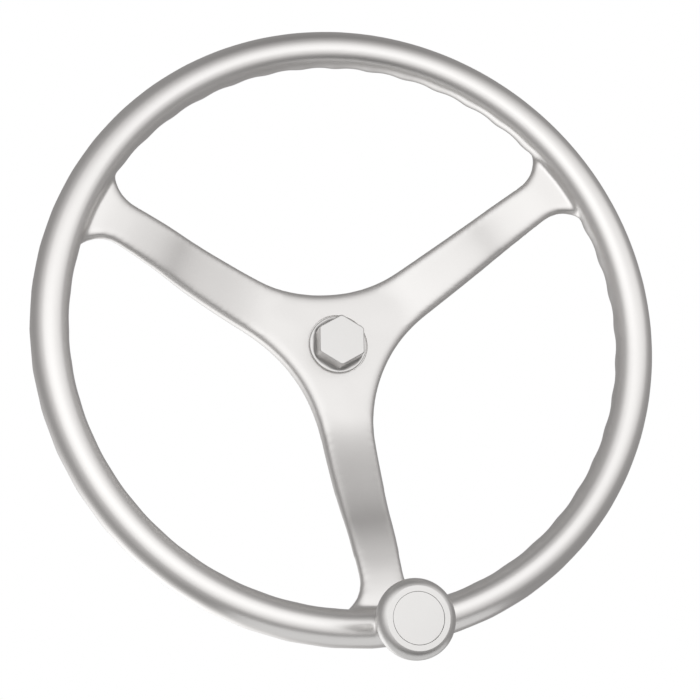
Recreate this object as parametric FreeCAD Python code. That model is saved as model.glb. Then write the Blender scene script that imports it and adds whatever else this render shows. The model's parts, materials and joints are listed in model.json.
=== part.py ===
import FreeCAD, Part
import math
import os
from FreeCAD import Vector

# Boat steering wheel, millimetres. The wheel's axis is Y, its front looks to -Y, +Z is up.
# The origin is the centre of the hub's rear face, where the tapered shaft goes in.
# The knob stands at the foot of the wheel, at the end of the spoke that points down.

# Rim
RIM_RADIUS = 161.5
RIM_TUBE_RADIUS = 10.0
GRIP_COUNT = 48
GRIP_DEPTH = 2.0
GRIP_SHARPNESS = 1.4
GRIP_SPREAD = 3.0
GRIP_TURN_DEGREES = 130.0
SECTION_POINTS = 12

# Dished plate of the spokes
DISH_DEPTH = 39.7
HUB_FLAT_RADIUS = 45.0
DISH_END_INSIDE_RIM = 1.5
FACE_BEHIND_RIM = 0.2
HUB_PLATE_THICKNESS = 11.5
RIM_PLATE_THICKNESS = 6.8

# Spokes, seen from the front
SPOKE_COUNT = 3
SPOKE_WIDTH_INSIDE = 28.8
SPOKE_WIDTH_OUTSIDE = 24.8
WIDTH_RADIUS_INSIDE = 68.0
WIDTH_RADIUS_OUTSIDE = 126.0
HUB_WAIST_RADIUS = 30.3
SPOKE_FLARE_RADIUS = 18.5
WINDOW_DEPTH_IN_RIM = 4.5
FRONT_EDGE_ROUND = 3.6
BACK_EDGE_ROUND = 2.6

# Hub
HUB_LENGTH = 36.0
HUB_DIAMETER = 42.0
HUB_ROOT_ROUND = 4.0
HUB_END_CHAMFER = 1.2
SHAFT_LARGE_DIAMETER = 19.05
SHAFT_TAPER = 1.0 / 12.0
KEYWAY_WIDTH = 4.76
KEYWAY_DEPTH = 2.4
SPOT_FACE_DEPTH = 1.5
SPOT_FACE_CLEARANCE = 0.9

# Centre nut
NUT_THREAD_MINOR_DIAMETER = 11.33
NUT_THREAD_DEPTH = 10.5
NUT_HEIGHT = 14.0
NUT_ACROSS_FLATS = 25.4
NUT_FLANGE_DIAMETER = 32.7
NUT_FLANGE_THICKNESS = 2.5
NUT_FLANGE_ROUND = 0.6
NUT_CORNER_ROUND = 2.2
NUT_FACE_ROUND = 0.9
NUT_TURN_DEGREES = 6.0

# Knob seat on the rim and the stud in it
SEAT_DIAMETER = 19.0
SEAT_HEIGHT = 11.5
STUD_THREAD_DIAMETER = 8.0
STUD_THREAD_LENGTH = 12.0
THREAD_CLEARANCE = 0.02
TAPPED_HOLE_EXTRA = 1.5
LOCK_WASHER_OUTER_DIAMETER = 14.6
LOCK_WASHER_THICKNESS = 1.6
LOCK_WASHER_SPLIT = 1.2
WASHER_CLEARANCE = 0.2
STUD_FLANGE_DIAMETER = 15.4
STUD_FLANGE_THICKNESS = 3.0
JOURNAL_DIAMETER = 8.0
STUD_TIP_LENGTH = 1.0
STUD_TIP_CHAMFER = 0.8
STUD_TIP_BEHIND_CAP = 1.5

# Bearings: bore is the journal, with its running fit
BEARING_FIT = 0.01
BALL_CLEARANCE = 0.04
CAGE_POCKET_CLEARANCE = 0.06
LOWER_BEARING_OUTER_DIAMETER = 16.0
LOWER_BEARING_WIDTH = 5.0
LOWER_BALL_DIAMETER = 2.0
LOWER_BALL_COUNT = 9
UPPER_BEARING_OUTER_DIAMETER = 22.0
UPPER_BEARING_WIDTH = 7.0
UPPER_BALL_DIAMETER = 3.969
UPPER_BALL_COUNT = 7
RACE_WALL_SHARE = 0.27
SHIELD_THICKNESS = 0.3
SHIELD_INSET = 0.15
SHIELD_GAP = 0.15
SHIELD_GROOVE_DEPTH = 0.3
CAGE_THICKNESS = 0.9
CAGE_RIM_WIDTH = 0.7
SPACER_WALL = 1.2

# Knob body
KNOB_FOOT_GAP = 0.8
KNOB_FOOT_DIAMETER = 23.0
KNOB_HEAD_DIAMETER = 40.0
KNOB_FACE_DIAMETER = 31.7
KNOB_HEAD_BEHIND_FACE = 6.0
KNOB_HEIGHT = 56.8
KNOB_WAIST_HEIGHT = 27.0
KNOB_WAIST_DIAMETER = 22.6
KNOB_UNDERSIDE_DROP = 9.0
KNOB_UNDERSIDE_SHARE = 0.55
SHOULDER_WIDTH = 1.2
FOOT_BORE_CLEARANCE = 0.6

# Fasteners in the knob's head
RING_THICKNESS = 1.0
RING_GROOVE_DEPTH = 0.6
RING_BAND = 1.6
RING_GAP_DEGREES = 40.0
RING_SIDE_CLEARANCE = 0.05
RETAINING_WASHER_DIAMETER = 12.6
RETAINING_WASHER_THICKNESS = 1.2
RETAINING_NUT_HEIGHT = 5.4
RETAINING_NUT_ACROSS_FLATS = 13.0
RETAINING_NUT_CHAMFER_HEIGHT = 0.9
RETAINING_NUT_FACE_INSIDE_FLATS = 0.2
LOCK_INSERT_HEIGHT = 1.6
LOCK_INSERT_WALL = 1.4

# Cap
CAP_DIAMETER = 25.8
CAP_THICKNESS = 2.6
CAP_GROOVE = 0.12
CAP_EDGE_ROUND = 0.2
CAP_PLUG_LENGTH = 2.6
CAP_PLUG_WALL = 1.5
CAP_RING_SECTION = 1.0
CAP_RING_SINK = 0.6

# Foot seal
SEAL_SECTION = 1.4
SEAL_RUNNING_GAP = 0.1
SEAL_INSIDE_FOOT = 0.8

# Places that follow from the sizes
HUB_FRONT_Y = -HUB_LENGTH
RIM_Y = HUB_FRONT_Y - DISH_DEPTH
DISH_OUTER_RADIUS = RIM_RADIUS - DISH_END_INSIDE_RIM
KNOB_Z = -RIM_RADIUS

# How far a cutting tool runs past what it cuts, and how near two measures count as the same
OVERRUN = 1.0
SAME = 0.001


def out_of_plane(radius, y):
    return Vector(radius, y, 0)


def at_height(height):
    """Y of a level of the knob, counted forward from the rim's centre plane."""
    return RIM_Y - height


def turned(profile, centre_z=0.0):
    """A solid of revolution about the Y direction through (0, 0, centre_z)."""
    solid = Part.Face(Part.Wire(profile)).revolve(Vector(0, 0, 0), Vector(0, 1, 0), 360)
    solid.translate(Vector(0, 0, centre_z))
    return solid


def turned_polygon(points, centre_z=0.0):
    """Revolves straight runs through (radius, y) points."""
    corners = [out_of_plane(radius, y) for radius, y in points]
    corners.append(corners[0])
    return turned(Part.makePolygon(corners).Edges, centre_z)


def knob_sleeve(inner_radius, outer_radius, low, high):
    """A ring about the knob's axis between two heights."""
    points = [(inner_radius, at_height(low)), (outer_radius, at_height(low)),
              (outer_radius, at_height(high)), (inner_radius, at_height(high))]
    return turned_polygon(points, KNOB_Z)


def knob_rod(radius, low, high):
    return Part.makeCylinder(radius, high - low, Vector(0, at_height(low), KNOB_Z), Vector(0, -1, 0))


def hexagon_prism(across_flats, y_rear, height, centre_z, turn_degrees=0.0):
    """A six-sided prism whose front looks to -Y, with one corner up at no turn."""
    corner = across_flats / 2 / math.cos(math.pi / 6)
    points = []
    for step in range(7):
        angle = math.radians(90 + 60 * step - turn_degrees)
        points.append(Vector(corner * math.cos(angle), y_rear, centre_z + corner * math.sin(angle)))
    return Part.Face(Part.makePolygon(points)).extrude(Vector(0, -height, 0))


def rounded_hexagon(across_flats, y_rear, height, turn_degrees):
    """The centre nut's hexagon, its upright corners and the edges of its face rounded."""
    prism = hexagon_prism(across_flats, y_rear, height, 0, turn_degrees)
    upright = [edge for edge in prism.Edges if abs(edge.valueAt(edge.FirstParameter).y
                                                   - edge.valueAt(edge.LastParameter).y) > SAME]
    prism = prism.makeFillet(NUT_CORNER_ROUND, upright)
    y_front = y_rear - height
    face_edges = [edge for edge in prism.Edges if abs(edge.CenterOfMass.y - y_front) < SAME]
    return prism.makeFillet(NUT_FACE_ROUND, face_edges)


# Wheel casting

def grip_section(angle, crest):
    """The rim's closed section at an angle round the wheel; crest is 0 in a hollow and 1 on a crest."""
    grip_turn = math.radians(GRIP_TURN_DEGREES)
    points = []
    for step in range(SECTION_POINTS):
        around = 2 * math.pi * step / SECTION_POINTS
        toward_fingers = ((1 + math.cos(around - grip_turn)) / 2) ** GRIP_SPREAD
        radius = RIM_TUBE_RADIUS + GRIP_DEPTH * crest * toward_fingers
        from_axis = RIM_RADIUS + radius * math.cos(around)
        y = RIM_Y + radius * math.sin(around)
        points.append(Vector(from_axis * math.cos(angle), y, from_axis * math.sin(angle)))
    curve = Part.BSplineCurve()
    curve.interpolate(Points=points, PeriodicFlag=True)
    return Part.Wire([curve.toShape()])


def rim():
    """The tube with finger hollows inside its back, one lofted pitch repeated round the wheel."""
    pitch = 2 * math.pi / GRIP_COUNT
    sections = []
    for share in (-0.5, -0.25, 0.0, 0.25, 0.5):
        crest = ((1 - math.cos(2 * math.pi * share)) / 2) ** GRIP_SHARPNESS
        sections.append(grip_section(math.pi / 2 + share * pitch, crest))
    skin = Part.makeLoft(sections, False, False)
    faces = []
    for index in range(GRIP_COUNT):
        turned_skin = skin.copy()
        turned_skin.rotate(Vector(0, 0, 0), Vector(0, 1, 0), 360.0 / GRIP_COUNT * index)
        faces.extend(turned_skin.Faces)
    shell = Part.makeShell(faces)
    shell.sewShape()
    solid = Part.Solid(Part.Shell(shell.Faces))
    if solid.Volume < 0:
        solid.reverse()
    return solid


def ogee(start, end):
    """Two equal arcs that leave start and reach end level with the wheel's plane."""
    run = end[0] - start[0]
    rise = end[1] - start[1]
    radius = (run ** 2 + rise ** 2) / (4 * abs(rise))
    toward = math.copysign(1.0, rise)
    half_turn = math.asin(run / 2 / radius) / 2
    step_r = radius * math.sin(half_turn)
    step_y = toward * radius * (1 - math.cos(half_turn))
    middle = out_of_plane((start[0] + end[0]) / 2, (start[1] + end[1]) / 2)
    first = Part.Arc(out_of_plane(*start), out_of_plane(start[0] + step_r, start[1] + step_y), middle)
    second = Part.Arc(middle, out_of_plane(end[0] - step_r, end[1] - step_y), out_of_plane(*end))
    return [first.toShape(), second.toShape()]


def line(start, end):
    return Part.LineSegment(out_of_plane(*start), out_of_plane(*end)).toShape()


def dished_blank():
    """The full disc that the spokes are cut from, with the hub boss behind it."""
    hub_radius = HUB_DIAMETER / 2
    plate_back = HUB_FRONT_Y + HUB_PLATE_THICKNESS
    rim_front = RIM_Y + FACE_BEHIND_RIM
    rim_back = rim_front + RIM_PLATE_THICKNESS
    root_start = (hub_radius + HUB_ROOT_ROUND, plate_back)
    root_end = (hub_radius, plate_back + HUB_ROOT_ROUND)
    inward = HUB_ROOT_ROUND * (1 - math.cos(math.pi / 4))
    root_middle = (hub_radius + inward, plate_back + inward)
    edges = [line((0, HUB_FRONT_Y), (HUB_FLAT_RADIUS, HUB_FRONT_Y))]
    edges += ogee((HUB_FLAT_RADIUS, HUB_FRONT_Y), (DISH_OUTER_RADIUS, rim_front))
    edges.append(line((DISH_OUTER_RADIUS, rim_front), (RIM_RADIUS, rim_front)))
    edges.append(line((RIM_RADIUS, rim_front), (RIM_RADIUS, rim_back)))
    edges.append(line((RIM_RADIUS, rim_back), (DISH_OUTER_RADIUS, rim_back)))
    edges += reversed(ogee((HUB_FLAT_RADIUS, plate_back), (DISH_OUTER_RADIUS, rim_back)))
    edges.append(line((HUB_FLAT_RADIUS, plate_back), root_start))
    arc = Part.Arc(out_of_plane(*root_start), out_of_plane(*root_middle), out_of_plane(*root_end))
    edges.append(arc.toShape())
    edges.append(line(root_end, (hub_radius, -HUB_END_CHAMFER)))
    edges.append(line((hub_radius, -HUB_END_CHAMFER), (hub_radius - HUB_END_CHAMFER, 0)))
    edges.append(line((hub_radius - HUB_END_CHAMFER, 0), (0, 0)))
    edges.append(line((0, 0), (0, HUB_FRONT_Y)))
    return turned(Part.__sortEdges__(edges))


def window_wire():
    """Outline of the opening above the hub, symmetric about the Z axis, in the plane y = 0."""
    taper = math.atan((SPOKE_WIDTH_INSIDE - SPOKE_WIDTH_OUTSIDE) / 2
                      / (WIDTH_RADIUS_OUTSIDE - WIDTH_RADIUS_INSIDE))
    spoke_angle = math.pi / 2 - math.pi / SPOKE_COUNT
    along = Vector(math.cos(spoke_angle - taper), 0, math.sin(spoke_angle - taper))
    normal = Vector(-along.z, 0, along.x)
    edge_distance = (SPOKE_WIDTH_INSIDE / 2 * math.cos(taper)
                     + WIDTH_RADIUS_INSIDE * math.sin(taper))
    waist_centre = (HUB_WAIST_RADIUS - edge_distance) / (1 - normal.z)
    waist_radius = waist_centre - HUB_WAIST_RADIUS
    waist_end = Vector(0, 0, waist_centre) - normal * waist_radius
    outer_radius = RIM_RADIUS - RIM_TUBE_RADIUS + WINDOW_DEPTH_IN_RIM
    flare_offset = edge_distance + SPOKE_FLARE_RADIUS
    flare_reach = math.sqrt((outer_radius - SPOKE_FLARE_RADIUS) ** 2 - flare_offset ** 2)
    flare_centre = normal * flare_offset + along * flare_reach
    outward = flare_centre * (1 / flare_centre.Length)
    flare_start = flare_centre - normal * SPOKE_FLARE_RADIUS
    flare_end = outward * outer_radius
    between = outward - normal
    flare_middle = flare_centre + between * (SPOKE_FLARE_RADIUS / between.Length)

    def mirrored(point):
        return Vector(-point.x, 0, point.z)

    edges = [Part.Arc(mirrored(waist_end), Vector(0, 0, HUB_WAIST_RADIUS), waist_end).toShape(),
             Part.LineSegment(waist_end, flare_start).toShape(),
             Part.Arc(flare_start, flare_middle, flare_end).toShape(),
             Part.Arc(flare_end, Vector(0, 0, outer_radius), mirrored(flare_end)).toShape(),
             Part.Arc(mirrored(flare_end), mirrored(flare_middle), mirrored(flare_start)).toShape(),
             Part.LineSegment(mirrored(flare_start), mirrored(waist_end)).toShape()]
    return Part.Wire(edges)


def spokes():
    """The dished blank with its windows cut and the spokes' edges rounded."""
    blank = dished_blank()
    cutter_start = RIM_Y - RIM_TUBE_RADIUS
    cutter = Part.Face(window_wire()).extrude(Vector(0, OVERRUN - cutter_start, 0))
    cutter.translate(Vector(0, cutter_start, 0))
    cutters = []
    for index in range(SPOKE_COUNT):
        copy = cutter.copy()
        copy.rotate(Vector(0, 0, 0), Vector(0, 1, 0), 360.0 / SPOKE_COUNT * index)
        cutters.append(copy)
    star = blank.cut(cutters)
    front, back = window_edges(star)
    star = star.makeFillet(FRONT_EDGE_ROUND, front)
    front, back = window_edges(star)
    return star.makeFillet(BACK_EDGE_ROUND, back)


def window_edges(shape):
    """Edges between a window's upright wall and the front or back of the plate."""
    front = []
    back = []
    for edge in shape.Edges:
        faces = shape.ancestorsOfType(edge, Part.Face)
        upright = [face for face in faces if is_window_wall(face)]
        if len(faces) != 2 or len(upright) != 1:
            continue
        point = edge.valueAt((edge.FirstParameter + edge.LastParameter) / 2)
        side = front if point.y < plate_middle(math.hypot(point.x, point.z)) else back
        side.append(edge)
    return front, back


def is_window_wall(face):
    """Whether a face stands square to the wheel's plane, away from the hub boss and the rim's edge."""
    u_range = face.ParameterRange
    u = (u_range[0] + u_range[1]) / 2
    v = (u_range[2] + u_range[3]) / 2
    normal = face.normalAt(u, v)
    centre = face.CenterOfMass
    coaxial = isinstance(face.Surface, Part.Cylinder) \
        and math.hypot(face.Surface.Center.x, face.Surface.Center.z) < SAME
    inside_hub = math.hypot(centre.x, centre.z) < HUB_DIAMETER / 4
    on_disc_edge = coaxial and abs(face.Surface.Radius - RIM_RADIUS) < SAME
    on_hub = coaxial and face.Surface.Radius < HUB_WAIST_RADIUS
    square = abs(normal.y) < SAME and not isinstance(face.Surface, (Part.Toroid, Part.Cone))
    return square and not (inside_hub or on_disc_edge or on_hub)


def plate_middle(radius):
    """Y of the middle of the plate's thickness at a distance from the axis."""
    share = (radius - HUB_FLAT_RADIUS) / (DISH_OUTER_RADIUS - HUB_FLAT_RADIUS)
    share = min(max(share, 0.0), 1.0)
    front = HUB_FRONT_Y - (DISH_DEPTH - FACE_BEHIND_RIM) * smooth_share(share)
    thickness = HUB_PLATE_THICKNESS + (RIM_PLATE_THICKNESS - HUB_PLATE_THICKNESS) * smooth_share(share)
    return front + thickness / 2


def smooth_share(share):
    """How far the ogee has gone at a share of its run, as two equal parabolas."""
    if share < 0.5:
        return 2 * share ** 2
    return 1 - 2 * (1 - share) ** 2


def nut_seat_y():
    return HUB_FRONT_Y + SPOT_FACE_DEPTH


def shaft_bore():
    """The taper for the shaft, with the keyway above it."""
    large = SHAFT_LARGE_DIAMETER / 2
    small = large - SHAFT_TAPER / 2 * HUB_LENGTH
    slope = SHAFT_TAPER / 2
    front = HUB_FRONT_Y - OVERRUN
    cone = turned_polygon([(0, OVERRUN), (large + slope * OVERRUN, OVERRUN),
                           (small - slope * OVERRUN, front), (0, front)])
    key = Part.makeBox(KEYWAY_WIDTH, HUB_LENGTH + 2 * OVERRUN, large + KEYWAY_DEPTH,
                       Vector(-KEYWAY_WIDTH / 2, front, 0))
    return cone.fuse(key)


def wheel_casting():
    """Rim, spokes, hub and knob seat, cast as one piece and bored."""
    body = rim().fuse([spokes(), knob_rod(SEAT_DIAMETER / 2, 0, SEAT_HEIGHT)])
    spot_radius = NUT_FLANGE_DIAMETER / 2 + SPOT_FACE_CLEARANCE
    spot_floor = Vector(0, nut_seat_y(), 0)
    spot = Part.makeCylinder(spot_radius, SPOT_FACE_DEPTH + OVERRUN, spot_floor, Vector(0, -1, 0))
    hole_bottom = SEAT_HEIGHT - STUD_THREAD_LENGTH - TAPPED_HOLE_EXTRA
    tapped = knob_rod(STUD_THREAD_DIAMETER / 2 + THREAD_CLEARANCE, hole_bottom, SEAT_HEIGHT + OVERRUN)
    return body.cut([shaft_bore(), spot, tapped])


# Centre nut

def centre_nut():
    """Flanged cap nut that draws the hub onto the shaft's taper."""
    seat = nut_seat_y()
    flange_front = seat - NUT_FLANGE_THICKNESS
    forward = Vector(0, -1, 0)
    flange = Part.makeCylinder(NUT_FLANGE_DIAMETER / 2, NUT_FLANGE_THICKNESS, Vector(0, seat, 0), forward)
    rims = [edge for edge in flange.Edges if abs(edge.CenterOfMass.y - flange_front) < SAME]
    flange = flange.makeFillet(NUT_FLANGE_ROUND, rims)
    hexagon = rounded_hexagon(NUT_ACROSS_FLATS, flange_front + NUT_FLANGE_THICKNESS / 2,
                              NUT_HEIGHT - NUT_FLANGE_THICKNESS / 2, NUT_TURN_DEGREES)
    thread = Part.makeCylinder(NUT_THREAD_MINOR_DIAMETER / 2, NUT_THREAD_DEPTH, Vector(0, seat, 0), forward)
    return flange.fuse(hexagon).cut(thread)


# Heights of the pieces in the knob, counted from the rim's centre plane: the lower ones
# stack up from the seat, the upper ones down from the cap, and the spacer fills what is between

WASHER_TOP = SEAT_HEIGHT + LOCK_WASHER_THICKNESS
FLANGE_TOP = WASHER_TOP + STUD_FLANGE_THICKNESS
LOWER_BEARING_TOP = FLANGE_TOP + LOWER_BEARING_WIDTH
KNOB_FOOT = SEAT_HEIGHT + KNOB_FOOT_GAP
CAP_LEDGE = KNOB_HEIGHT - CAP_THICKNESS
STUD_TIP = CAP_LEDGE - STUD_TIP_BEHIND_CAP
RETAINING_NUT_TOP = STUD_TIP - STUD_TIP_LENGTH
RETAINING_WASHER_TOP = RETAINING_NUT_TOP - RETAINING_NUT_HEIGHT
UPPER_BEARING_TOP = RETAINING_WASHER_TOP - RETAINING_WASHER_THICKNESS
UPPER_BEARING_LOW = UPPER_BEARING_TOP - UPPER_BEARING_WIDTH


# Stud and its lock washer

def knob_stud():
    """Flanged stud: thread in the rim, journal for the bearings, thread for the nut."""
    journal = JOURNAL_DIAMETER / 2
    thread = STUD_THREAD_DIAMETER / 2
    low = SEAT_HEIGHT - STUD_THREAD_LENGTH
    points = [(0, at_height(low)), (thread - STUD_TIP_CHAMFER, at_height(low)),
              (thread, at_height(low + STUD_TIP_CHAMFER)), (thread, at_height(WASHER_TOP)),
              (STUD_FLANGE_DIAMETER / 2, at_height(WASHER_TOP)),
              (STUD_FLANGE_DIAMETER / 2, at_height(FLANGE_TOP)), (journal, at_height(FLANGE_TOP)),
              (journal, at_height(STUD_TIP - STUD_TIP_CHAMFER)),
              (journal - STUD_TIP_CHAMFER, at_height(STUD_TIP)), (0, at_height(STUD_TIP))]
    return turned_polygon(points, KNOB_Z)


def stud_lock_washer():
    """Split spring washer under the stud's flange."""
    inner = STUD_THREAD_DIAMETER / 2 + WASHER_CLEARANCE
    ring = knob_sleeve(inner, LOCK_WASHER_OUTER_DIAMETER / 2, SEAT_HEIGHT, WASHER_TOP)
    split = Part.makeBox(LOCK_WASHER_SPLIT, LOCK_WASHER_THICKNESS + 2 * OVERRUN, LOCK_WASHER_OUTER_DIAMETER,
                         Vector(-LOCK_WASHER_SPLIT / 2, at_height(WASHER_TOP + OVERRUN), KNOB_Z))
    return ring.cut(split)


# Ball bearings

LOWER_BEARING = {"outer": LOWER_BEARING_OUTER_DIAMETER / 2, "width": LOWER_BEARING_WIDTH,
                 "ball": LOWER_BALL_DIAMETER / 2, "count": LOWER_BALL_COUNT, "low": FLANGE_TOP}
UPPER_BEARING = {"outer": UPPER_BEARING_OUTER_DIAMETER / 2, "width": UPPER_BEARING_WIDTH,
                 "ball": UPPER_BALL_DIAMETER / 2, "count": UPPER_BALL_COUNT, "low": UPPER_BEARING_LOW}


def bore_radius():
    return JOURNAL_DIAMETER / 2 + BEARING_FIT


def race_wall(bearing):
    return (bearing["outer"] - bore_radius()) * RACE_WALL_SHARE


def inner_race_radius(bearing):
    return bore_radius() + race_wall(bearing)


def outer_race_radius(bearing):
    return bearing["outer"] - race_wall(bearing)


def pitch_radius(bearing):
    return (bore_radius() + bearing["outer"]) / 2


def ball_groove(bearing):
    """The ring of space that the balls roll in."""
    centre = Vector(0, at_height(bearing["low"] + bearing["width"] / 2), KNOB_Z)
    return Part.makeTorus(pitch_radius(bearing), bearing["ball"] + BALL_CLEARANCE, centre, Vector(0, 1, 0))


def inner_race(bearing):
    low = bearing["low"]
    ring = knob_sleeve(bore_radius(), inner_race_radius(bearing), low, low + bearing["width"])
    return ring.cut(ball_groove(bearing))


def outer_race(bearing):
    """Outer ring with the ball groove and a small step at each face for its shield."""
    low = bearing["low"]
    high = low + bearing["width"]
    land = outer_race_radius(bearing)
    step = land + SHIELD_GROOVE_DEPTH
    depth = SHIELD_INSET + SHIELD_THICKNESS
    ring = knob_sleeve(land, bearing["outer"], low, high)
    inside = land - OVERRUN
    lower_step = knob_sleeve(inside, step, low - OVERRUN, low + depth)
    upper_step = knob_sleeve(inside, step, high - depth, high + OVERRUN)
    return ring.cut([ball_groove(bearing), lower_step, upper_step])


def shields(bearing):
    """The two pressed covers, each seated in its step of the outer ring."""
    low = bearing["low"]
    high = low + bearing["width"]
    inner = inner_race_radius(bearing) + SHIELD_GAP
    outer = outer_race_radius(bearing) + SHIELD_GROOVE_DEPTH
    lower = knob_sleeve(inner, outer, low + SHIELD_INSET, low + SHIELD_INSET + SHIELD_THICKNESS)
    upper = knob_sleeve(inner, outer, high - SHIELD_INSET - SHIELD_THICKNESS, high - SHIELD_INSET)
    return Part.makeCompound([lower, upper])


def ball_centres(bearing):
    centres = []
    level = at_height(bearing["low"] + bearing["width"] / 2)
    for index in range(bearing["count"]):
        angle = 2 * math.pi * index / bearing["count"]
        centres.append(Vector(pitch_radius(bearing) * math.cos(angle), level,
                              KNOB_Z + pitch_radius(bearing) * math.sin(angle)))
    return centres


def balls(bearing):
    return Part.makeCompound([Part.makeSphere(bearing["ball"], centre) for centre in ball_centres(bearing)])


def cage(bearing):
    """A ring on the balls' pitch circle with a round pocket drilled outward for each ball."""
    middle = bearing["low"] + bearing["width"] / 2
    pocket_radius = bearing["ball"] + CAGE_POCKET_CLEARANCE
    half_width = pocket_radius + CAGE_RIM_WIDTH
    half_wall = CAGE_THICKNESS / 2
    ring = knob_sleeve(pitch_radius(bearing) - half_wall, pitch_radius(bearing) + half_wall,
                       middle - half_width, middle + half_width)
    hub = Vector(0, at_height(middle), KNOB_Z)
    pockets = [Part.makeCylinder(pocket_radius, bearing["outer"], hub, centre - hub)
               for centre in ball_centres(bearing)]
    return ring.cut(pockets)


def bearing_spacer():
    """Sleeve that keeps the two inner rings apart on the journal."""
    return knob_sleeve(bore_radius(), bore_radius() + SPACER_WALL, LOWER_BEARING_TOP, UPPER_BEARING_LOW)


# Rings, washer and nut that close the knob

def snap_ring(groove_radius, low):
    """A C-shaped wire ring that springs out into a groove of the knob's bore."""
    high = low + RING_THICKNESS
    ring = knob_sleeve(groove_radius - RING_BAND, groove_radius, low, high)
    reach = groove_radius * 2
    half = math.radians(RING_GAP_DEGREES / 2)
    level = at_height(high + OVERRUN)
    apex = Vector(0, level, KNOB_Z)
    corners = [apex,
               Vector(reach * math.sin(half), level, KNOB_Z + reach * math.cos(half)),
               Vector(-reach * math.sin(half), level, KNOB_Z + reach * math.cos(half)),
               apex]
    gap = Part.Face(Part.makePolygon(corners)).extrude(Vector(0, RING_THICKNESS + 2 * OVERRUN, 0))
    return ring.cut(gap)


def ring_groove_radius():
    return UPPER_BEARING_OUTER_DIAMETER / 2 + RING_GROOVE_DEPTH


def retaining_washer():
    inner = JOURNAL_DIAMETER / 2 + WASHER_CLEARANCE
    return knob_sleeve(inner, RETAINING_WASHER_DIAMETER / 2, UPPER_BEARING_TOP, RETAINING_WASHER_TOP)


def insert_low():
    return RETAINING_NUT_TOP - LOCK_INSERT_HEIGHT


def insert_inner_radius():
    return JOURNAL_DIAMETER / 2 + THREAD_CLEARANCE


def insert_outer_radius():
    return insert_inner_radius() + LOCK_INSERT_WALL


def retaining_nut():
    """Lock nut on the stud's end, its corners turned off and its front bored out for the nylon ring."""
    y_rear = at_height(RETAINING_WASHER_TOP)
    y_front = at_height(RETAINING_NUT_TOP)
    flat = RETAINING_NUT_ACROSS_FLATS / 2
    past_corner = flat / math.cos(math.pi / 6) + OVERRUN
    blank = turned_polygon([(0, y_rear), (past_corner, y_rear),
                            (past_corner, y_front + RETAINING_NUT_CHAMFER_HEIGHT),
                            (flat - RETAINING_NUT_FACE_INSIDE_FLATS, y_front), (0, y_front)], KNOB_Z)
    prism = hexagon_prism(RETAINING_NUT_ACROSS_FLATS, y_rear, RETAINING_NUT_HEIGHT, KNOB_Z)
    nut = prism.common(blank)
    bore = knob_rod(insert_inner_radius(), RETAINING_WASHER_TOP - OVERRUN, RETAINING_NUT_TOP + OVERRUN)
    pocket = knob_rod(insert_outer_radius(), insert_low(), RETAINING_NUT_TOP + OVERRUN)
    return nut.cut([bore, pocket])


def nut_lock_insert():
    return knob_sleeve(insert_inner_radius(), insert_outer_radius(), insert_low(), RETAINING_NUT_TOP)


# Knob body

def foot_bore_radius():
    return STUD_FLANGE_DIAMETER / 2 + FOOT_BORE_CLEARANCE


def cap_plug_radius():
    return CAP_DIAMETER / 2 - CAP_PLUG_WALL


def knob_outline():
    """The turned outline of the mushroom, from its foot to its face."""
    foot = KNOB_FOOT_DIAMETER / 2
    waist = KNOB_WAIST_DIAMETER / 2
    head = KNOB_HEAD_DIAMETER / 2
    face = KNOB_FACE_DIAMETER / 2
    widest = KNOB_HEIGHT - KNOB_HEAD_BEHIND_FACE
    underside = widest - KNOB_UNDERSIDE_DROP
    stem = Part.BSplineCurve()
    points = [out_of_plane(foot, at_height(KNOB_FOOT)), out_of_plane(waist, at_height(KNOB_WAIST_HEIGHT)),
              out_of_plane(waist + (head - waist) * KNOB_UNDERSIDE_SHARE, at_height(underside)),
              out_of_plane(head, at_height(widest))]
    stem.interpolate(Points=points, InitialTangent=Vector(0, -1, 0), FinalTangent=Vector(0, -1, 0))
    shoulder_middle = shoulder_point(head, face, widest)
    shoulder = Part.Arc(out_of_plane(head, at_height(widest)), shoulder_middle,
                        out_of_plane(face, at_height(KNOB_HEIGHT)))
    return [line((0, at_height(KNOB_FOOT)), (foot, at_height(KNOB_FOOT))), stem.toShape(), shoulder.toShape(),
            line((face, at_height(KNOB_HEIGHT)), (0, at_height(KNOB_HEIGHT))),
            line((0, at_height(KNOB_HEIGHT)), (0, at_height(KNOB_FOOT)))]


def shoulder_point(head, face, widest):
    """Middle of the arc that leaves the widest place upright and ends at the face's edge."""
    run = head - face
    rise = KNOB_HEIGHT - widest
    radius = (run ** 2 + rise ** 2) / (2 * run)
    half = math.asin(rise / radius) / 2
    return out_of_plane(head - radius * (1 - math.cos(half)), at_height(widest + radius * math.sin(half)))


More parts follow.
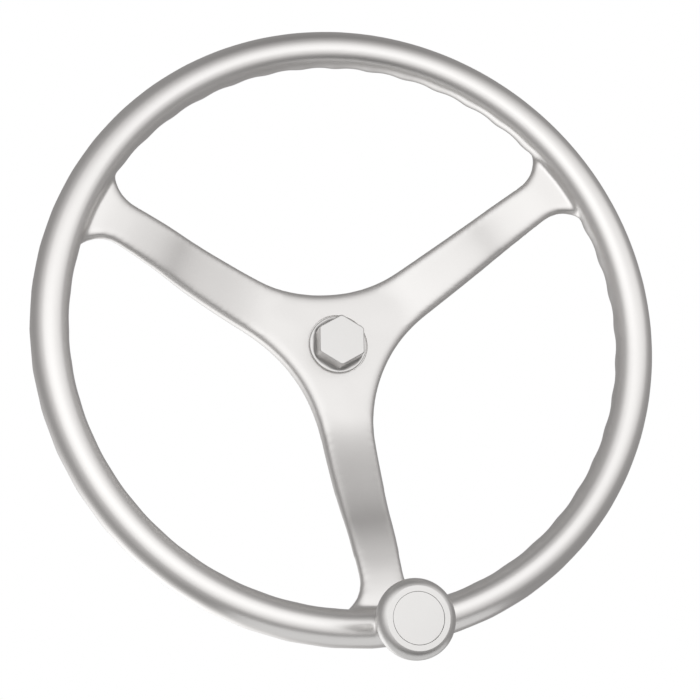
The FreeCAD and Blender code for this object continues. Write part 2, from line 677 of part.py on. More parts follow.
def knob_body():
    """Hollow mushroom: bearing pockets, groove for the ring, seat for the cap and its ring."""
    blank = turned(knob_outline(), KNOB_Z)
    lower = LOWER_BEARING_OUTER_DIAMETER / 2
    upper = UPPER_BEARING_OUTER_DIAMETER / 2
    past_face = KNOB_HEIGHT + OVERRUN
    foot_bore = knob_rod(foot_bore_radius(), KNOB_FOOT - OVERRUN, FLANGE_TOP)
    lower_pocket = knob_rod(lower, FLANGE_TOP - OVERRUN, LOWER_BEARING_TOP)
    through = knob_rod(lower - SHOULDER_WIDTH, LOWER_BEARING_TOP - OVERRUN, UPPER_BEARING_LOW + OVERRUN)
    upper_pocket = knob_rod(upper, UPPER_BEARING_LOW, past_face)
    groove_high = UPPER_BEARING_TOP + RING_THICKNESS + RING_SIDE_CLEARANCE
    groove = knob_rod(ring_groove_radius(), UPPER_BEARING_TOP, groove_high)
    cap_seat = knob_rod(CAP_DIAMETER / 2 + CAP_GROOVE, CAP_LEDGE, past_face)
    plug_seat = knob_rod(cap_plug_radius() + CAP_GROOVE, CAP_LEDGE - CAP_PLUG_LENGTH, past_face)
    inside_seal = foot_bore_radius() - OVERRUN
    seal = knob_sleeve(inside_seal, seal_groove_radius(), seal_low(), seal_low() + SEAL_SECTION)
    return blank.cut([foot_bore, lower_pocket, through, upper_pocket, groove, cap_seat, plug_seat, seal])


# Foot seal

def seal_low():
    return KNOB_FOOT + SEAL_INSIDE_FOOT


def seal_groove_radius():
    return STUD_FLANGE_DIAMETER / 2 + SEAL_RUNNING_GAP + SEAL_SECTION


def foot_seal():
    """Ring in the knob's foot that wipes the stud's flange."""
    inner = STUD_FLANGE_DIAMETER / 2 + SEAL_RUNNING_GAP
    return knob_sleeve(inner, seal_groove_radius(), seal_low(), seal_low() + SEAL_SECTION)


# Cap

def cap_ring_height():
    return CAP_LEDGE - CAP_PLUG_LENGTH / 2


def cap_ring():
    """Sealing ring in a groove round the cap's plug."""
    outer = cap_plug_radius() + CAP_GROOVE
    low = cap_ring_height() - CAP_RING_SECTION / 2
    return knob_sleeve(cap_plug_radius() - CAP_RING_SINK, outer, low, low + CAP_RING_SECTION)


def cap_disc():
    """Plain round cap, its plug hollow behind, with a groove for the ring."""
    disc = knob_rod(CAP_DIAMETER / 2, CAP_LEDGE, KNOB_HEIGHT)
    front = [edge for edge in disc.Edges if abs(edge.CenterOfMass.y - at_height(KNOB_HEIGHT)) < SAME]
    disc = disc.makeFillet(CAP_EDGE_ROUND, front)
    wall = cap_plug_radius()
    plug = knob_sleeve(wall - CAP_PLUG_WALL, wall, CAP_LEDGE - CAP_PLUG_LENGTH, CAP_LEDGE)
    low = cap_ring_height() - CAP_RING_SECTION / 2
    groove = knob_sleeve(wall - CAP_RING_SINK, wall + OVERRUN, low, low + CAP_RING_SECTION)
    return disc.fuse(plug).cut(groove)


def bearing_nodes(place, bearing):
    return {place + "_bearing_outer_race": outer_race(bearing),
            place + "_bearing_inner_race": inner_race(bearing),
            place + "_bearing_cage": cage(bearing),
            place + "_bearing_balls": balls(bearing),
            place + "_bearing_shields": shields(bearing)}


def all_nodes():
    nodes = {"wheel_casting": wheel_casting(),
             "centre_nut": centre_nut(),
             "knob_stud": knob_stud(),
             "stud_lock_washer": stud_lock_washer(),
             "foot_seal": foot_seal(),
             "knob_body": knob_body(),
             "bearing_spacer": bearing_spacer(),
             "bearing_snap_ring": snap_ring(ring_groove_radius(), UPPER_BEARING_TOP),
             "retaining_washer": retaining_washer(),
             "retaining_nut": retaining_nut(),
             "nut_lock_insert": nut_lock_insert(),
             "cap_disc": cap_disc(),
             "cap_sealing_ring": cap_ring()}
    nodes.update(bearing_nodes("lower", LOWER_BEARING))
    nodes.update(bearing_nodes("upper", UPPER_BEARING))
    return nodes


os.makedirs("parts", exist_ok=True)
for node, shape in all_nodes().items():
    shape.exportStep("parts/" + node + ".step")
    print(node, len(shape.Solids), shape.isValid(), round(shape.Volume, 2))
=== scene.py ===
import json
import math

import bmesh
import bpy
from mathutils import Matrix, Vector

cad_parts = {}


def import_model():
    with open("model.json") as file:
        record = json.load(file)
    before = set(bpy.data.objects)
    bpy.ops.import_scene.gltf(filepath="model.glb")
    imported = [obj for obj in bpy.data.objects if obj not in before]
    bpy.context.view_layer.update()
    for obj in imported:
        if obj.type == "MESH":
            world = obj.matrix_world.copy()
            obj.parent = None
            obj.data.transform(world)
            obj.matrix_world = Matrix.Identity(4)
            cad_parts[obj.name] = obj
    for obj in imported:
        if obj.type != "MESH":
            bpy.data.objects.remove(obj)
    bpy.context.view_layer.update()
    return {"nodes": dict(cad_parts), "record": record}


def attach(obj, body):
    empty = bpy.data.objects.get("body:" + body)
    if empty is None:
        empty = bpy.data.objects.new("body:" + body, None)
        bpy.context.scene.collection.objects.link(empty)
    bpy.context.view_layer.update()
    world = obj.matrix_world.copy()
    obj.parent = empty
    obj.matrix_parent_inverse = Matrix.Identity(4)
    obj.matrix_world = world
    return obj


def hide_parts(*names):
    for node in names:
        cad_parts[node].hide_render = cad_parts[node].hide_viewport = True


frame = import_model()

# Sizes in metres, in the frame of the solids: axis along Y, front towards -Y
MM = 0.001
WHEEL_CENTRE = Vector((0, 0, 0))

# Rim: a round tube with crests between the finger hollows; a turn of 90 degrees points them straight back
RIM_RADIUS = 161.5 * MM
TUBE_RADIUS = 10.0 * MM
RIM_Y = -75.7 * MM
GRIP_COUNT = 48
GRIP_DEPTH = 2.0 * MM
GRIP_SHARPNESS = 1.4
GRIP_SPREAD = 3.6
GRIP_TURN = math.radians(92)
RING_STEPS = 960
SECTION_STEPS = 64

# Crests of the solid's own tube, which are wider and lean towards the wheel's axis, how near to that
# tube a place counts as on it, and the radius to which such a place is drawn in
SOLID_GRIP_SPREAD = 3.0
SOLID_GRIP_TURN = math.radians(130)
SURFACE_TOLERANCE = 0.35 * MM
CORE_RADIUS = 9.9 * MM

# Spokes: how far their middles stand forward of the solid's, and where, as radii from the axis
DISH_SWELL = 4.0 * MM
DISH_SWELL_START = 35.0 * MM
DISH_SWELL_END = 126.0 * MM

# Hub: the faced spot under the nut, the tapered bore and its keyway
HUB_FRONT_Y = -36.0 * MM
NUT_SEAT_Y = -34.5 * MM
SPOT_RADIUS = 17.25 * MM
SHAFT_RADIUS = 9.525 * MM
SHAFT_SLOPE = 1 / 24
KEYWAY_WIDTH = 4.76 * MM
KEYWAY_TOP = 11.925 * MM

# Seat of the knob's stud on the rim
KNOB_CENTRE = Vector((0, 0, -RIM_RADIUS))
SEAT_Y = RIM_Y - 11.5 * MM
STUD_HOLE_RADIUS = 4.02 * MM
STUD_HOLE_DEPTH = 13.5 * MM

# Skin over the casting: its grid, and the smoothing that rounds its corners
SKIN_GRID = 1.25 * MM
SMOOTH_FACTOR = 0.5
SKIN_SMOOTH_ROUNDS = 6
SPOKE_SMOOTH_ROUNDS = 16
SOFT_START_RADIUS = 138.0 * MM
SOFT_END_RADIUS = 150.0 * MM

# Plugs that fill the machined hollows until these are cut again, and the margin of the cutters
PLUG_WALL = 3.0 * MM
PLUG_INSET = 1.0 * MM
SPOT_PLUG_WALL = 1.0 * MM
SPOT_PLUG_DEPTH = 4.0 * MM
REAR_PLUG_DEPTH = 6.0 * MM
CUT_MARGIN = 3.0 * MM
ROD_SEGMENTS = 96
BORE_SEGMENTS = 160

# Angles in degrees past which an edge is shown crisp
CASTING_CRISP = 40
NUT_CRISP = 30
KNOB_CRISP = 14
CAP_CRISP = 30

# Floor of the studio, and the level of the world's plain light on everything
FLOOR_Z = -0.26
FLOOR_RADIUS = 1.6
FLOOR_SEGMENTS = 96
FLOOR_TONES = ((0.86, 0.86, 0.86, 1), (0.90, 0.90, 0.90, 1))
PLAIN_LEVEL = 0.55

# Soft lamps: name, place, width and power
LAMPS = (("front_key", (-0.9, -1.9, 0.9), 1.2, 14.0),
         ("front_fill", (1.1, -1.7, -0.1), 1.0, 6.0),
         ("top_soft", (0.2, -0.3, 1.9), 1.4, 8.0))

# Shell of lit cloth: its grey, and lit or shaded places as direction, strength and sharpness
SHELL_RADIUS = 0.9
SHELL_SEGMENTS = 64
SHELL_GREY = 0.33
SHELL_SHADE = (1.0, 0.98, 0.972, 1)
SHELL_LIGHT = (1.0, 1.0, 1.0, 1)
FRONT_SCREEN = ((0.0, -1.0, 0.0), 1.04, 4.0)
LEFT_SCREEN = ((-0.617, -0.733, 0.286), 0.46, 8.0)
RIGHT_SCREEN = ((0.733, -0.63, 0.256), 0.52, 13.0)
LOW_LEFT_SCREEN = ((-0.54, 0.62, -0.56), 1.15, 7.0)
REAR_SCREEN = ((-0.15, 0.94, -0.30), 0.50, 16.0)
TOP_SHADE = ((0.08, -0.60, 0.80), -0.12, 8.0)
LOW_SHADE = ((0.05, -0.55, -0.83), -0.24, 8.0)
SCREENS = (FRONT_SCREEN, LEFT_SCREEN, RIGHT_SCREEN, LOW_LEFT_SCREEN, REAR_SCREEN, TOP_SHADE, LOW_SHADE)

# White card that lies under the wheel and shows in the undersides
CARD_HALF_WIDTH = 0.13
CARD_THICKNESS = 1.0 * MM
CARD_FRONT_Y = -0.145
CARD_REAR_Y = -0.035
CARD_Z = -0.25
CARD_LEVEL = 0.75

# Camera: its place, its three directions, and a lens that gives the photograph's perspective
CAMERA_PLACE = Vector((-207.0 * MM, RIM_Y - 820.0 * MM, -201.5 * MM))
CAMERA_RIGHT = Vector((0.96933, -0.21247, -0.12349))
CAMERA_UP = Vector((0.07063, -0.24043, 0.96810))
CAMERA_BACK = Vector((-0.23538, -0.94713, -0.21806))
FOCAL_PIXELS = 1607.0
IMAGE_PIXELS = 700.0
SENSOR_MM = 36.0
CLIP_START = 0.01
CLIP_END = 50.0

# Finishes: the darker and the lighter colour of each
BLASTED_TONES = ((0.75, 0.737, 0.724, 1), (0.85, 0.837, 0.825, 1))
TURNED_TONES = ((0.67, 0.661, 0.651, 1), (0.77, 0.761, 0.750, 1))
FASTENER_TONES = ((0.66, 0.66, 0.65, 1), (0.74, 0.74, 0.73, 1))
BEARING_TONES = ((0.70, 0.70, 0.71, 1), (0.77, 0.77, 0.78, 1))
NYLON_TONES = ((0.82, 0.81, 0.76, 1), (0.88, 0.87, 0.83, 1))
RUBBER_TONES = ((0.018, 0.018, 0.018, 1), (0.035, 0.034, 0.033, 1))


# Nodes and finishes

def named_input(node, name):
    """A node's input by its name with underscores for blanks, or by its number as in0, in1 and so on."""
    if name.startswith("in") and name[2:].isdigit():
        return node.inputs[int(name[2:])]
    return node.inputs[name.replace("_", " ")]


class Value:
    """A node's socket that can be used in Python arithmetic, in a shader or in geometry nodes."""

    def __init__(self, tree, socket):
        self.tree = tree
        self.socket = socket

    def node(self, kind, settings=None, out=0, **sockets):
        """Adds a node with its settings first, then the values or links of its inputs."""
        node = self.tree.nodes.new(kind)
        for name, setting in (settings or {}).items():
            setattr(node, name, setting)
        for name, value in sockets.items():
            socket = named_input(node, name)
            if isinstance(value, Value):
                self.tree.links.new(value.socket, socket)
            else:
                socket.default_value = value
        return Value(self.tree, node.outputs[out])

    def maths(self, operation, *values):
        sockets = {"in%d" % index: value for index, value in enumerate(values)}
        return self.node("ShaderNodeMath", {"operation": operation}, **sockets)

    def __add__(self, other):
        return self.maths("ADD", self, other)

    __radd__ = __add__

    def __sub__(self, other):
        return self.maths("SUBTRACT", self, other)

    def __rsub__(self, other):
        return self.maths("SUBTRACT", other, self)

    def __mul__(self, other):
        return self.maths("MULTIPLY", self, other)

    __rmul__ = __mul__

    def __truediv__(self, other):
        return self.maths("DIVIDE", self, other)

    def __rtruediv__(self, other):
        return self.maths("DIVIDE", other, self)

    def __pow__(self, other):
        return self.maths("POWER", self, other)

    def __rpow__(self, other):
        return self.maths("POWER", other, self)


def new_material(name):
    """An empty node material with its shader and the object coordinates as a Value."""
    material = bpy.data.materials.new(name)
    material.use_nodes = True
    shader = material.node_tree.nodes["Principled BSDF"]
    start = Value(material.node_tree, None)
    place = start.node("ShaderNodeTexCoord", out=3)
    return material, shader, place


def feed(shader, socket_name, value):
    """Links a value to one of the shader's inputs."""
    value.tree.links.new(value.socket, shader.inputs[socket_name])


def noise(place, scale, detail=2.0, roughness=0.5):
    return place.node("ShaderNodeTexNoise", Vector=place, Scale=scale, Detail=detail, Roughness=roughness)


def mix_colour(mask, tones):
    """Goes from the first colour to the second as the mask goes from 0 to 1."""
    return mask.node("ShaderNodeMix", {"data_type": "RGBA"}, out=2, in0=mask, in6=tones[0], in7=tones[1])


def components(place):
    """The X, Y and Z of a place."""
    split = place.node("ShaderNodeSeparateXYZ", Vector=place)
    return [Value(split.tree, output) for output in split.socket.node.outputs]


def axis_radius(place):
    """How far a place lies from the axis along Y."""
    across, along, upward = components(place)
    return (across * across + upward * upward) ** 0.5


def blasted_stainless():
    """Bead-blasted casting: even satin with faint clouds and a fine grain, worn smoother on the rim."""
    material, shader, place = new_material("blasted_stainless")
    clouds = noise(place, 22.0, 3.0)
    grain = noise(place, 1600.0, 2.0, 0.6)
    tone = clouds * 0.7 + grain * 0.3
    feed(shader, "Base Color", mix_colour(tone, BLASTED_TONES))
    radius = axis_radius(place)
    on_rim = radius.node("ShaderNodeMapRange", {"interpolation_type": "SMOOTHSTEP"}, Value=radius,
                         From_Min=RIM_RADIUS - 2.2 * TUBE_RADIUS, From_Max=RIM_RADIUS - TUBE_RADIUS)
    feed(shader, "Roughness", 0.36 - on_rim * 0.10 + clouds * 0.06 + grain * 0.03)
    relief = grain.node("ShaderNodeBump", Strength=0.10, Distance=0.00004, Height=grain + clouds * 2.0)
    feed(shader, "Normal", relief)
    shader.inputs["Metallic"].default_value = 1.0
    return material


def turned_stainless(name, centre):
    """Fine lathe rings round an axis along Y, almost polished away."""
    material, shader, place = new_material(name)
    local = place.node("ShaderNodeMapping", Vector=place, Location=(-centre.x, 0, -centre.z))
    rings = local.node("ShaderNodeCombineXYZ", X=axis_radius(local), Y=components(local)[1])
    lathe = noise(rings, 5200.0, 2.0)
    clouds = noise(place, 60.0, 2.0)
    grain = noise(place, 1900.0, 2.0, 0.6)
    tone = clouds * 0.5 + lathe * 0.25 + grain * 0.25
    feed(shader, "Base Color", mix_colour(tone, TURNED_TONES))
    feed(shader, "Roughness", 0.30 + clouds * 0.05 + lathe * 0.04)
    relief = lathe.node("ShaderNodeBump", Strength=0.08, Distance=0.00003, Height=lathe + grain)
    feed(shader, "Normal", relief)
    shader.inputs["Metallic"].default_value = 1.0
    return material


def machined_steel(name, tones, roughness, grain_scale):
    """Bright machined steel for fasteners and bearing rings."""
    material, shader, place = new_material(name)
    clouds = noise(place, 90.0, 2.0)
    grain = noise(place, grain_scale, 2.0)
    feed(shader, "Base Color", mix_colour(clouds, tones))
    feed(shader, "Roughness", roughness + grain * 0.08)
    relief = grain.node("ShaderNodeBump", Strength=0.08, Distance=0.00002, Height=grain)
    feed(shader, "Normal", relief)
    shader.inputs["Metallic"].default_value = 1.0
    return material


def moulded(name, tones, roughness, grain_scale):
    """Moulded plastic or rubber with a faint skin."""
    material, shader, place = new_material(name)
    clouds = noise(place, 120.0, 3.0)
    grain = noise(place, grain_scale, 2.0)
    feed(shader, "Base Color", mix_colour(clouds, tones))
    feed(shader, "Roughness", roughness + grain * 0.1)
    relief = grain.node("ShaderNodeBump", Strength=0.15, Distance=0.00003, Height=grain)
    feed(shader, "Normal", relief)
    return material


BLASTED = blasted_stainless()
TURNED_KNOB = turned_stainless("turned_stainless_knob", KNOB_CENTRE)
TURNED_NUT = turned_stainless("turned_stainless_nut", WHEEL_CENTRE)
FASTENER = machined_steel("machined_fastener_steel", FASTENER_TONES, 0.28, 2200.0)
BEARING = machined_steel("ground_bearing_steel", BEARING_TONES, 0.10, 3000.0)
NYLON = moulded("moulded_nylon", NYLON_TONES, 0.40, 1500.0)
RUBBER = moulded("black_rubber", RUBBER_TONES, 0.55, 1800.0)

SLOT_MATERIALS = {"cast_stainless": BLASTED, "turned_stainless": TURNED_KNOB, "fastener_steel": FASTENER,
                  "bearing_steel": BEARING, "nylon": NYLON, "black_rubber": RUBBER}


def dress_nodes():
    """Gives every solid of the frame the material of its slot, and the nut its own lathe rings."""
    for subpart in frame["record"]["subparts"]:
        node = frame["nodes"][subpart["node"]]
        node.data.materials.clear()
        node.data.materials.append(SLOT_MATERIALS[subpart["material_slot"]])
    frame["nodes"]["centre_nut"].data.materials[0] = TURNED_NUT


# Meshes

def new_object(name, mesh):
    """An object in the scene that stands at the origin."""
    piece = bpy.data.objects.new(name, mesh)
    bpy.context.scene.collection.objects.link(piece)
    return piece


def merged_copy(node_name, name):
    """A copy of a solid's mesh with its loose triangles joined."""
    work = bmesh.new()
    work.from_mesh(frame["nodes"][node_name].data)
    bmesh.ops.remove_doubles(work, verts=work.verts, dist=1e-6)
    mesh = bpy.data.meshes.new(name)
    work.to_mesh(mesh)
    work.free()
    return mesh


def evaluated_mesh(piece, name):
    """The plain mesh that an object's modifiers make; the modifiers are then removed."""
    bpy.context.view_layer.update()
    graph = bpy.context.evaluated_depsgraph_get()
    mesh = bpy.data.meshes.new_from_object(piece.evaluated_get(graph))
    mesh.name = name
    piece.modifiers.clear()
    return mesh


def rod_mesh(radius_front, radius_rear, y_front, y_rear, centre, segments=ROD_SEGMENTS):
    """A round rod or cone along Y between two levels."""
    work = bmesh.new()
    turn = Matrix.Rotation(math.radians(-90), 4, "X")
    middle = Vector((centre.x, (y_front + y_rear) / 2, centre.z))
    bmesh.ops.create_cone(work, cap_ends=True, segments=segments, radius1=radius_front, radius2=radius_rear,
                          depth=y_rear - y_front, matrix=Matrix.Translation(middle) @ turn)
    mesh = bpy.data.meshes.new("rod")
    work.to_mesh(mesh)
    work.free()
    return mesh


def box_mesh(low, high):
    """A box between two corners."""
    work = bmesh.new()
    size = high - low
    matrix = Matrix.Translation((low + high) / 2) @ Matrix.Diagonal((size.x, size.y, size.z, 1))
    bmesh.ops.create_cube(work, size=1.0, matrix=matrix)
    mesh = bpy.data.meshes.new("box")
    work.to_mesh(mesh)
    work.free()
    return mesh


def joined(name, meshes):
    """One mesh that holds several closed ones."""
    work = bmesh.new()
    for mesh in meshes:
        work.from_mesh(mesh)
    result = bpy.data.meshes.new(name)
    work.to_mesh(result)
    work.free()
    return result


RIM_SIZES = {"Rim Radius": RIM_RADIUS, "Tube Radius": TUBE_RADIUS, "Grip Count": float(GRIP_COUNT),
             "Grip Depth": GRIP_DEPTH, "Grip Sharpness": GRIP_SHARPNESS, "Grip Spread": GRIP_SPREAD,
             "Grip Turn": GRIP_TURN}


def rim_tree():
    """Nodes that sweep the rim's tube and push out the crests between the finger hollows along its back."""
    tree = bpy.data.node_groups.new("rim_with_finger_hollows", "GeometryNodeTree")
    tree.interface.new_socket("Geometry", in_out="OUTPUT", socket_type="NodeSocketGeometry")
    for name, value in RIM_SIZES.items():
        socket = tree.interface.new_socket(name, in_out="INPUT", socket_type="NodeSocketFloat")
        socket.default_value = value
    inputs = tree.nodes.new("NodeGroupInput").outputs
    given = [Value(tree, inputs[name]) for name in RIM_SIZES]
    rim_radius, tube_radius, count, depth, sharpness, spread, turn = given

    circle = "GeometryNodeCurvePrimitiveCircle"
    ring = rim_radius.node(circle, Resolution=RING_STEPS, Radius=rim_radius)
    section = tube_radius.node(circle, Resolution=SECTION_STEPS, Radius=tube_radius)
    tube = ring.node("GeometryNodeCurveToMesh", Curve=ring, Profile_Curve=section)

    place = tube.node("GeometryNodeInputPosition")
    x, y, z = components(place)
    across = x * x + y * y
    distance = across.maths("SQRT", across)
    sideways = distance - rim_radius
    angle = y.maths("ARCTAN2", y, x)
    wave = angle.maths("COSINE", angle * count)
    crest = ((1.0 - wave) * 0.5) ** sharpness
    facing = (sideways * turn.maths("COSINE", turn) + z * turn.maths("SINE", turn)) / tube_radius
    toward_fingers = ((facing + 1.0) * 0.5) ** spread
    share = crest * toward_fingers * depth / tube_radius
    grown = sideways * share / distance
    offset = place.node("ShaderNodeCombineXYZ", X=x * grown, Y=y * grown, Z=z * share)

    moved = tube.node("GeometryNodeSetPosition", Geometry=tube, Offset=offset)
    real = moved.node("GeometryNodeRealizeInstances", Geometry=moved)
    painted = real.node("GeometryNodeSetMaterial", Geometry=real, Material=BLASTED)
    tree.links.new(painted.socket, tree.nodes.new("NodeGroupOutput").inputs[0])
    return tree


def rim_mesh():
    """The swept rim, stood up so that its back looks to +Y, in the rim's plane."""
    carrier = new_object("rim_sweep", bpy.data.meshes.new("rim_sweep"))
    modifier = carrier.modifiers.new("rim", "NODES")
    modifier.node_group = rim_tree()
    for item in modifier.node_group.interface.items_tree:
        if item.in_out == "INPUT":
            modifier[item.identifier] = RIM_SIZES[item.name]
    mesh = evaluated_mesh(carrier, "rim_sweep_mesh")
    bpy.data.objects.remove(carrier)
    mesh.transform(Matrix.Translation((0, RIM_Y, 0)) @ Matrix.Rotation(math.radians(-90), 4, "X"))
    outward_faces(mesh)
    return mesh


def outward_faces(mesh):
    """Joins the seams of a closed mesh and turns its faces outwards."""
    work = bmesh.new()
    work.from_mesh(mesh)
    bmesh.ops.remove_doubles(work, verts=work.verts, dist=1e-7)
    bmesh.ops.recalc_face_normals(work, faces=work.faces)
    work.to_mesh(mesh)
    work.free()


def cut_with(piece, cutter_mesh):
    """Takes a closed cutter out of a piece."""
    cutter = new_object("cutter", cutter_mesh)
    outward_faces(cutter_mesh)
    modifier = piece.modifiers.new("cut", "BOOLEAN")
    modifier.operation = "DIFFERENCE"
    modifier.solver = "EXACT"
    modifier.object = cutter
    piece.data = evaluated_mesh(piece, piece.name)
    bpy.data.objects.remove(cutter)


def calm(piece, rounds, group_name=""):
    """Adds a smoothing of a piece's skin, of all of it or of a group of its vertices."""
    modifier = piece.modifiers.new("calm", "SMOOTH")
    modifier.factor = SMOOTH_FACTOR
    modifier.iterations = rounds
    modifier.vertex_group = group_name


def soft_solid(name, meshes):
    """One skin over closed meshes that overlap, with their corners softened as in a casting."""
    piece = new_object(name, joined(name, meshes))
    skin = piece.modifiers.new("skin", "REMESH")
    skin.mode = "VOXEL"
    skin.voxel_size = SKIN_GRID
    calm(piece, SKIN_SMOOTH_ROUNDS)
    piece.data = evaluated_mesh(piece, name)
    return piece


def soften_spokes(piece):
    """Rounds the edges of the spokes and the hub further, and leaves the rim as it is."""
    group = piece.vertex_groups.new(name="spokes")
    for vertex in piece.data.vertices:
        reach = math.hypot(vertex.co.x, vertex.co.z)
        share = (SOFT_END_RADIUS - reach) / (SOFT_END_RADIUS - SOFT_START_RADIUS)
        if share > 0:
            group.add([vertex.index], min(share, 1.0), "REPLACE")
    calm(piece, SPOKE_SMOOTH_ROUNDS, group.name)
    piece.data = evaluated_mesh(piece, piece.name)
    piece.vertex_groups.clear()


def flat_faces(piece):
    """Normals that keep flat faces flat and let the narrow rounds between them carry the turn."""
    weighted = piece.modifiers.new("flat_faces", "WEIGHTED_NORMAL")
    weighted.keep_sharp = True
    piece.data = evaluated_mesh(piece, piece.name)


def shade(piece, crisp_degrees):
    """Smooth shading, with crisp edges past an angle."""
    piece.data.polygons.foreach_set("use_smooth", [True] * len(piece.data.polygons))
    piece.data.set_sharp_from_angle(angle=math.radians(crisp_degrees))


def paint(piece, material):
    """Gives the whole piece one material."""
    piece.data.materials.clear()
    piece.data.materials.append(material)
    for polygon in piece.data.polygons:
        polygon.material_index = 0


def dish_swell(radius):
    """How far the spokes' middles stand forward, so that their slope grows evenly from the hub."""
    share = (radius - DISH_SWELL_START) / (DISH_SWELL_END - DISH_SWELL_START)
    if not 0 < share < 1:
        return 0.0
    return DISH_SWELL * math.sin(math.pi * share) ** 2


def solid_tube_radius(angle, sideways, behind):
    """The radius of the solid's tube with its crests, at an angle round the wheel, in one direction."""
    crest = ((1 - math.cos(angle * GRIP_COUNT)) / 2) ** GRIP_SHARPNESS
    facing = sideways * math.cos(SOLID_GRIP_TURN) + behind * math.sin(SOLID_GRIP_TURN)
    return TUBE_RADIUS + GRIP_DEPTH * crest * ((facing + 1) / 2) ** SOLID_GRIP_SPREAD


def drawn_in(place):
    """A place on the solid's tube moved in under the swept rim, and any other place as it is."""
    ring_point = Vector((place.x, 0, place.z)).normalized() * RIM_RADIUS + Vector((0, RIM_Y, 0))
    reach = place - ring_point
    if reach.length < CORE_RADIUS:
        return place
    sideways = (math.hypot(place.x, place.z) - RIM_RADIUS) / reach.length
    solid_radius = solid_tube_radius(math.atan2(place.z, place.x), sideways, reach.y / reach.length)
    if abs(reach.length - solid_radius) >= SURFACE_TOLERANCE:
        return place
    return ring_point + reach * (CORE_RADIUS / reach.length)


def spokes_and_hub():
    """A copy of the solid casting, its spokes brought forward and its tube drawn in under the swept rim."""
    mesh = merged_copy("wheel_casting", "casting_copy")
    for vertex in mesh.vertices:
        vertex.co.y -= dish_swell(math.hypot(vertex.co.x, vertex.co.z))
        vertex.co = drawn_in(vertex.co.copy())
    return mesh


def hub_plugs():
    """Rods that fill the bore and the faced spot, so that the skin closes over them."""
    bore_radius = SHAFT_RADIUS + PLUG_WALL
    spot_radius = SPOT_RADIUS + SPOT_PLUG_WALL
    bore = rod_mesh(bore_radius, bore_radius, HUB_FRONT_Y + PLUG_INSET, -PLUG_INSET, WHEEL_CENTRE)
    spot = rod_mesh(spot_radius, spot_radius, HUB_FRONT_Y, HUB_FRONT_Y + SPOT_PLUG_DEPTH, WHEEL_CENTRE)
    rear = rod_mesh(bore_radius, bore_radius, -REAR_PLUG_DEPTH, 0.0, WHEEL_CENTRE)
    return [bore, spot, rear]


def cut_hub(piece):
    """The faced spot under the nut, the tapered bore and its keyway."""
    front = HUB_FRONT_Y - CUT_MARGIN
    cut_with(piece, rod_mesh(SPOT_RADIUS, SPOT_RADIUS, front, NUT_SEAT_Y, WHEEL_CENTRE, BORE_SEGMENTS))
    front_radius = SHAFT_RADIUS + SHAFT_SLOPE * front
    rear_radius = SHAFT_RADIUS + SHAFT_SLOPE * CUT_MARGIN
    cut_with(piece, rod_mesh(front_radius, rear_radius, front, CUT_MARGIN, WHEEL_CENTRE, BORE_SEGMENTS))
    low = Vector((-KEYWAY_WIDTH / 2, front, 0))
    high = Vector((KEYWAY_WIDTH / 2, CUT_MARGIN, KEYWAY_TOP))
    cut_with(piece, box_mesh(low, high))


def cut_stud_hole(piece):
    """The hole in the rim for the knob's stud."""
    front = SEAT_Y - CUT_MARGIN
    end = SEAT_Y + STUD_HOLE_DEPTH
    cut_with(piece, rod_mesh(STUD_HOLE_RADIUS, STUD_HOLE_RADIUS, front, end, KNOB_CENTRE))


def casting():
    """The whole wheel as one smooth casting, then its machined seats cut crisp."""
    piece = soft_solid("wheel_casting_skin", [spokes_and_hub(), rim_mesh()] + hub_plugs())
    soften_spokes(piece)
    cut_hub(piece)
    cut_stud_hole(piece)
    shade(piece, CASTING_CRISP)
    paint(piece, BLASTED)
    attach(piece, "wheel")
    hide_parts("wheel_casting")


def smooth_twin(node_name, body, material, crisp_degrees):
    """The solid's own form with joined, smoothly shaded faces."""
    piece = new_object(node_name + "_skin", merged_copy(node_name, node_name + "_skin"))
    shade(piece, crisp_degrees)
    flat_faces(piece)
    paint(piece, material)
    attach(piece, body)
    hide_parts(node_name)


# Camera, light and studio

def camera():
    """The photograph's camera."""
    data = bpy.data.cameras.new("photograph")
    data.sensor_width = SENSOR_MM
    data.lens = FOCAL_PIXELS / IMAGE_PIXELS * SENSOR_MM
    data.clip_start = CLIP_START
    data.clip_end = CLIP_END
    eye = bpy.data.objects.new("photograph", data)
    bpy.context.scene.collection.objects.link(eye)
    turn = Matrix((CAMERA_RIGHT, CAMERA_UP, CAMERA_BACK)).transposed().to_4x4()
    eye.matrix_world = Matrix.Translation(CAMERA_PLACE) @ turn
    bpy.context.scene.camera = eye


def soft_lamp(name, place, width, power):
    """A round soft lamp aimed at the wheel's centre, itself unseen in the metal."""
    data = bpy.data.lights.new(name, "AREA")
    data.shape = "DISK"
    data.size = width
    data.energy = power
    lamp = bpy.data.objects.new(name, data)
    bpy.context.scene.collection.objects.link(lamp)
    lamp.location = place
    lamp.rotation_euler = (WHEEL_CENTRE - Vector(place)).to_track_quat("-Z", "Y").to_euler()
    lamp.visible_glossy = False


def world():
    """White to the camera and in the floor's faint shine, and a plain grey level of light otherwise."""
    sky = bpy.data.worlds.new("studio")
    bpy.context.scene.world = sky
    sky.use_nodes = True
    tree = sky.node_tree
    seen_by_camera = Value(tree, None).node("ShaderNodeLightPath")
    seen_in_shine = Value(tree, seen_by_camera.socket.node.outputs["Is Glossy Ray"])
    level = (seen_by_camera + seen_in_shine) * (1 - PLAIN_LEVEL) + PLAIN_LEVEL
    background = tree.nodes["Background"]
    background.inputs["Color"].default_value = (1, 1, 1, 1)
    tree.links.new(level.socket, background.inputs["Strength"])


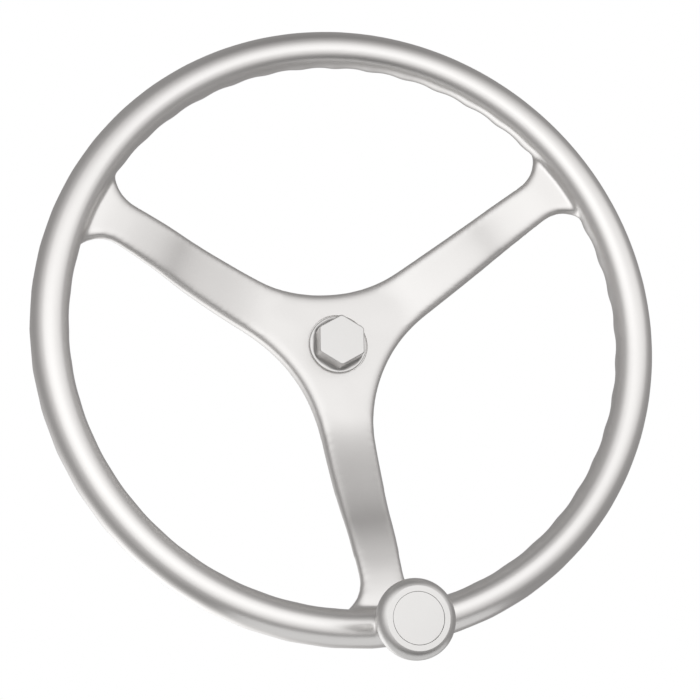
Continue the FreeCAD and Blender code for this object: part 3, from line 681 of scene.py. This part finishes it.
def studio_floor():
    """A round pale floor a little below the wheel, which takes its shadow."""
    work = bmesh.new()
    bmesh.ops.create_circle(work, cap_ends=True, segments=FLOOR_SEGMENTS, radius=FLOOR_RADIUS,
                            matrix=Matrix.Translation((0, 0, FLOOR_Z)))
    mesh = bpy.data.meshes.new("floor")
    work.to_mesh(mesh)
    work.free()
    floor = new_object("studio_floor", mesh)
    material, shader, place = new_material("pale_floor")
    soft = noise(place, 3.0, 2.0)
    feed(shader, "Base Color", mix_colour(soft, FLOOR_TONES))
    shader.inputs["Roughness"].default_value = 0.9
    floor.data.materials.append(material)
    floor.visible_glossy = False


def toward(place, direction, sharpness):
    """How far a place on the shell lies in a direction seen from the wheel, as a soft lobe."""
    unit = place.node("ShaderNodeVectorMath", {"operation": "NORMALIZE"}, in0=place)
    along = unit.node("ShaderNodeVectorMath", {"operation": "DOT_PRODUCT"}, out=1, in0=unit, in1=direction)
    return along.maths("MAXIMUM", along, 0.0) ** sharpness


def bare_material(name):
    """A material without its usual shader, for something that only glows."""
    material = bpy.data.materials.new(name)
    material.use_nodes = True
    tree = material.node_tree
    tree.nodes.remove(tree.nodes["Principled BSDF"])
    return material, tree


def show_in_metal_only(piece):
    """Stage gear that is seen in reflections alone, and casts no light or shadow."""
    piece.visible_camera = False
    piece.visible_diffuse = False
    piece.visible_shadow = False
    piece.visible_transmission = False


def cloth_shell():
    """A shell of lit cloth round the wheel, bright in front and grey elsewhere, seen only in the metal."""
    work = bmesh.new()
    bmesh.ops.create_uvsphere(work, u_segments=SHELL_SEGMENTS, v_segments=SHELL_SEGMENTS // 2,
                              radius=SHELL_RADIUS)
    mesh = bpy.data.meshes.new("cloth_shell")
    work.to_mesh(mesh)
    work.free()
    material, tree = bare_material("lit_cloth")
    place = Value(tree, None).node("ShaderNodeTexCoord", out=3)
    lit = 0.0
    for direction, strength, sharpness in SCREENS:
        lit = lit + toward(place, direction, sharpness) * strength
    colour = mix_colour(lit, (SHELL_SHADE, SHELL_LIGHT))
    glow = place.node("ShaderNodeEmission", Color=colour, Strength=lit + SHELL_GREY)
    tree.links.new(glow.socket, tree.nodes["Material Output"].inputs["Surface"])
    mesh.materials.append(material)
    show_in_metal_only(new_object("cloth_shell", mesh))


def white_card():
    """A white card under the wheel, seen only in the metal."""
    low = Vector((-CARD_HALF_WIDTH, CARD_FRONT_Y, CARD_Z - CARD_THICKNESS))
    high = Vector((CARD_HALF_WIDTH, CARD_REAR_Y, CARD_Z))
    mesh = box_mesh(low, high)
    material, tree = bare_material("white_card")
    glow = Value(tree, None).node("ShaderNodeEmission", Color=SHELL_LIGHT, Strength=CARD_LEVEL)
    tree.links.new(glow.socket, tree.nodes["Material Output"].inputs["Surface"])
    mesh.materials.append(material)
    show_in_metal_only(new_object("white_card", mesh))


dress_nodes()
camera()
world()
studio_floor()
cloth_shell()
white_card()
for lamp_name, lamp_place, lamp_width, lamp_power in LAMPS:
    soft_lamp(lamp_name, lamp_place, lamp_width, lamp_power)

casting()
smooth_twin("centre_nut", "wheel", TURNED_NUT, NUT_CRISP)
smooth_twin("knob_body", "knob", TURNED_KNOB, KNOB_CRISP)
smooth_twin("cap_disc", "knob", TURNED_KNOB, CAP_CRISP)

bpy.context.scene.view_settings.view_transform = "Standard"
